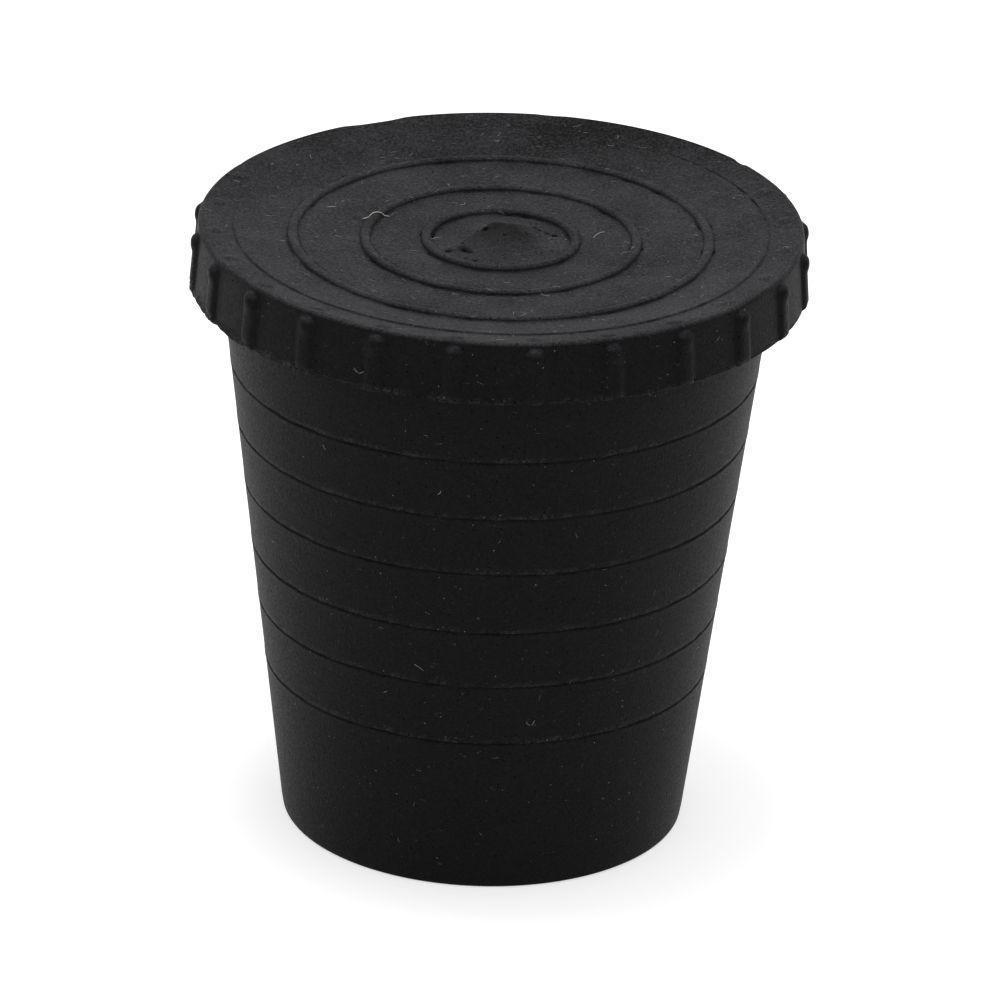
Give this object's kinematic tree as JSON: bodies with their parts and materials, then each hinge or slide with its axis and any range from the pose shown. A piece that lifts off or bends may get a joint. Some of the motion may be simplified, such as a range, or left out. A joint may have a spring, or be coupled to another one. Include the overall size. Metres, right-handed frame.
{
  "type": "rubber stopper",
  "caption": "Solid rubber stopper: a long tapered plug with fine mould witness lines, under a wide round cap with grip ribs on its edge and round beads in its dished top.",
  "frame": {"origin": "centre of the small end of the plug, on the surface the stopper stands on", "axes": "+Z along the plug's axis, from the small end up to the cap; -Y is the front"},
  "size_m": [0.0612, 0.0612, 0.0632],
  "materials": {
    "rubber": "matt"
  },
  "bodies": {
    "root": {"stopper": "rubber"}
  },
  "joints": []
}
